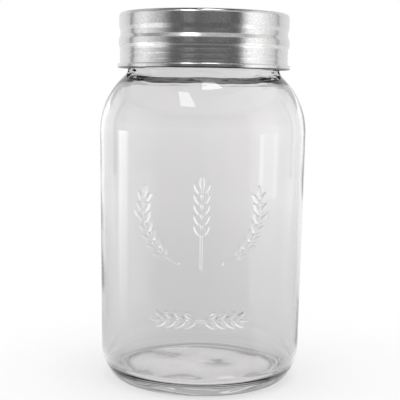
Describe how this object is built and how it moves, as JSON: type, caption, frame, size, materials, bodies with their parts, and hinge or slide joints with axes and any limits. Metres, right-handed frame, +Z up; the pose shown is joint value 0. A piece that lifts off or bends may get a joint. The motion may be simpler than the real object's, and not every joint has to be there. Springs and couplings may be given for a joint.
{
  "type": "lidded glass storage jar",
  "caption": "Tall round clear glass storage jar with rounded shoulders, a narrower threaded neck and a wide screw-on sheet-metal lid with a rolled hem.",
  "frame": {"origin": "centre of the circle that the jar stands on, on the jar's axis", "axes": "+Z up along the jar's axis, out of the mouth; the camera of the picture looks along +Y"},
  "size_m": [0.156, 0.156, 0.2765],
  "materials": {
    "clear_glass": "smooth clear soda-lime glass",
    "lid_metal": "bright tinned steel sheet, lightly brushed round the skirt",
    "liner_foam": "white closed-cell foam sheet"
  },
  "bodies": {
    "jar": {"glass_jar": "clear_glass"},
    "liner": {"lid_liner": "liner_foam"},
    "lid": {"lid_shell": "lid_metal"}
  },
  "joints": [
    {"name": "lid_lift", "type": "slide", "parent": "jar", "child": "liner", "axis": [0, 0, 1], "range_m": [0, 0.045]},
    {"name": "lid_turn", "type": "hinge", "parent": "liner", "child": "lid", "pos_m": [0, 0, 0.2749], "axis": [0, 0, 1], "range_deg": [0, 4050]}
  ],
  "couplings": [
    {"joint": "lid_lift", "follows": "lid_turn", "m_per_rad": 0.00063662}
  ]
}
